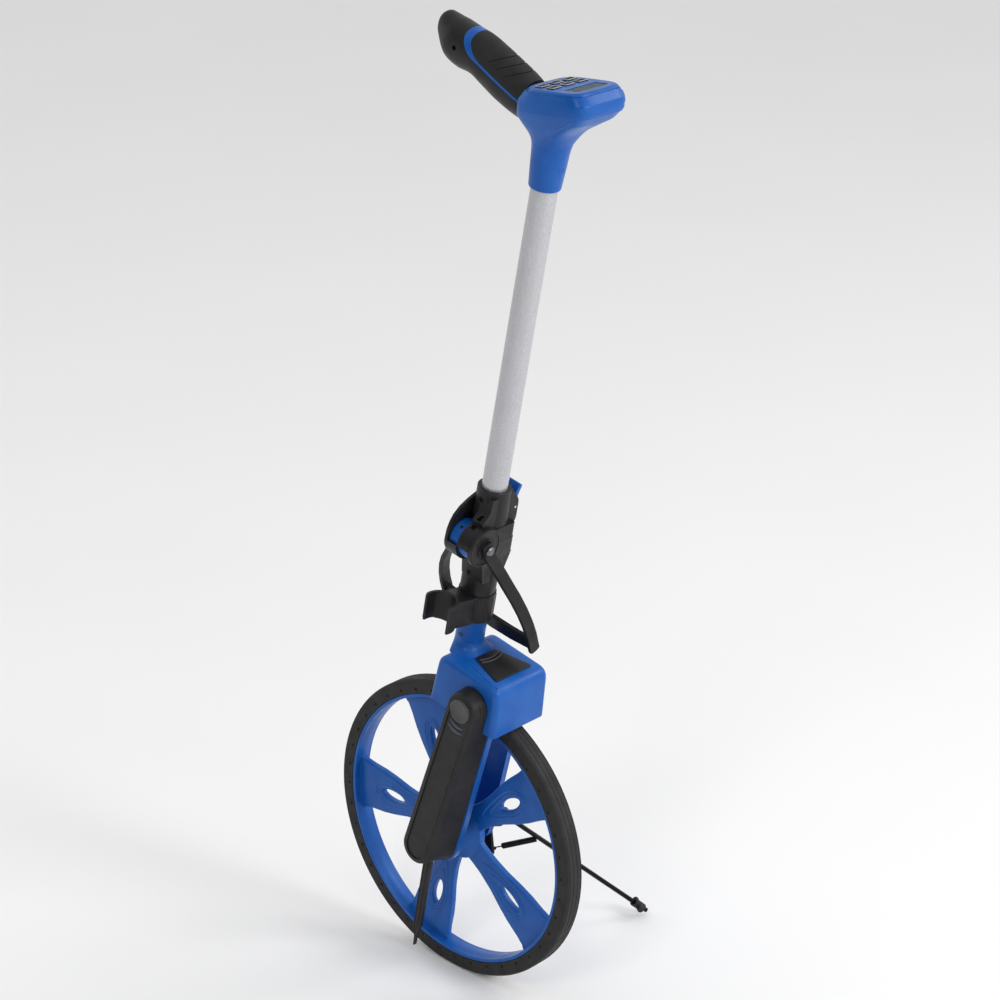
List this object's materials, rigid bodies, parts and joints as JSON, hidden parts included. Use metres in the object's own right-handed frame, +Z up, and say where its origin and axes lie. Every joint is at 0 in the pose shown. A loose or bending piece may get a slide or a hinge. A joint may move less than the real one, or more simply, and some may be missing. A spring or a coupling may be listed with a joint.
{
  "type": "measuring wheel",
  "caption": "Walking-distance measuring wheel: rubber-tyred spoked wheel, side-folding mast with hinge, latch and carry loop, display head with buttons, pistol grip and side stand.",
  "frame": {"origin": "the point of the floor under the middle of the wheel, on the flat of the tyre that rests there", "axes": "+X is the way the wheel rolls and the pointer side leads, +Y is along the axle towards the side that carries the stand, +Z is up"},
  "size_m": [0.3431, 0.2606, 0.9909],
  "materials": {
    "blue_plastic": "moulded, semi-gloss",
    "black_plastic": "moulded, fine texture",
    "soft_rubber": "matt, moulded",
    "tyre_rubber": "matt, with fine tread",
    "satin_aluminium": "satin anodised",
    "bright_steel": "turned",
    "black_steel": "black oxide, slightly worn",
    "circuit_green": "coated board",
    "display_screen": "smooth, dark",
    "cell_wrap": "printed sleeve without lettering"
  },
  "bodies": {
    "wheel": {"tyre": "tyre_rubber", "wheel_rim": "blue_plastic", "bearing_near": "bright_steel", "bearing_far": "bright_steel", "encoder_ring": "black_plastic"},
    "frame": {"axle": "bright_steel", "axle_nut_near": "bright_steel", "axle_nut_far": "bright_steel", "spacer_near": "bright_steel", "spacer_far": "bright_steel", "spacer_pointer": "bright_steel", "fork_leg_near": "blue_plastic", "fork_leg_far": "blue_plastic", "fender_housing": "blue_plastic", "label_panel": "black_plastic", "arm_cover": "black_plastic", "arm_cover_cap": "black_plastic", "sensor_board": "circuit_green", "pointer": "black_plastic", "lower_tube": "satin_aluminium", "neck_screw": "black_steel", "storage_clip": "black_plastic", "lower_bracket": "black_plastic", "lower_bracket_screw": "black_steel", "hinge_pin": "bright_steel", "hinge_drum": "blue_plastic", "stand_bracket": "black_steel", "stand_pin": "bright_steel", "stand_spring": "black_steel", "handle_screw_near": "bright_steel", "handle_screw_far": "bright_steel"},
    "mast": {"upper_bracket": "black_plastic", "upper_bracket_screw": "black_steel", "latch_pin": "bright_steel", "upper_tube": "satin_aluminium", "head_shell": "blue_plastic", "socket_screw": "black_steel", "head_cover": "blue_plastic", "lcd_window": "display_screen", "lcd_module": "circuit_green", "circuit_board": "circuit_green", "grip_core": "black_plastic", "grip_trim": "blue_plastic", "grip_insert": "soft_rubber", "battery_a": "cell_wrap", "battery_b": "cell_wrap"},
    "release_latch": {"release_latch": "blue_plastic"},
    "carry_handle": {"carry_handle": "black_plastic"},
    "stand": {"stand_rod": "black_steel", "stand_foot": "soft_rubber"},
    "battery_door": {"battery_door": "black_plastic"},
    "button_1": {"button_1": "soft_rubber"},
    "button_2": {"button_2": "soft_rubber"},
    "button_3": {"button_3": "soft_rubber"},
    "button_4": {"button_4": "soft_rubber"},
    "button_5": {"button_5": "soft_rubber"},
    "button_6": {"button_6": "soft_rubber"}
  },
  "joints": [
    {"name": "wheel_spin", "type": "hinge", "parent": "frame", "child": "wheel", "pos_m": [0, 0, 0.15915], "axis": [0, 1, 0], "continuous": true},
    {"name": "mast_fold", "type": "hinge", "parent": "frame", "child": "mast", "pos_m": [0.04216, -0.022, 0.49392], "axis": [0.9803, 0, -0.1974], "range_deg": [0, 175]},
    {"name": "carry_handle_swing", "type": "hinge", "parent": "frame", "child": "carry_handle", "pos_m": [0.04216, -0.022, 0.49392], "axis": [0.9803, 0, -0.1974], "range_deg": [0, 130]},
    {"name": "latch_press", "type": "hinge", "parent": "mast", "child": "release_latch", "pos_m": [0.04577, 0.022, 0.52124], "axis": [0.9803, 0, -0.1974], "range_deg": [0, 6], "stiffness_Nm_per_rad": 0.5, "springref_deg": -5},
    {"name": "stand_fold", "type": "hinge", "parent": "frame", "child": "stand", "pos_m": [0.02641, 0.04, 0.16516], "axis": [0.8839, -0.441, -0.1555], "range_deg": [0, 126], "deforming": ["stand_spring"]},
    {"name": "battery_door_open", "type": "hinge", "parent": "mast", "child": "battery_door", "pos_m": [0.03939, 0, 0.93257], "axis": [0, 1, 0], "range_deg": [0, 95]},
    {"name": "button_1_press", "type": "slide", "parent": "mast", "child": "button_1", "axis": [0.077, 0, -0.997], "range_m": [0, 0.0012], "stiffness_N_per_m": 400, "springref_m": -0.001},
    {"name": "button_2_press", "type": "slide", "parent": "mast", "child": "button_2", "axis": [0.077, 0, -0.997], "range_m": [0, 0.0012], "stiffness_N_per_m": 400, "springref_m": -0.001},
    {"name": "button_3_press", "type": "slide", "parent": "mast", "child": "button_3", "axis": [0.077, 0, -0.997], "range_m": [0, 0.0012], "stiffness_N_per_m": 400, "springref_m": -0.001},
    {"name": "button_4_press", "type": "slide", "parent": "mast", "child": "button_4", "axis": [0.077, 0, -0.997], "range_m": [0, 0.0012], "stiffness_N_per_m": 400, "springref_m": -0.001},
    {"name": "button_5_press", "type": "slide", "parent": "mast", "child": "button_5", "axis": [0.077, 0, -0.997], "range_m": [0, 0.0012], "stiffness_N_per_m": 400, "springref_m": -0.001},
    {"name": "button_6_press", "type": "slide", "parent": "mast", "child": "button_6", "axis": [0.077, 0, -0.997], "range_m": [0, 0.0012], "stiffness_N_per_m": 400, "springref_m": -0.001}
  ]
}
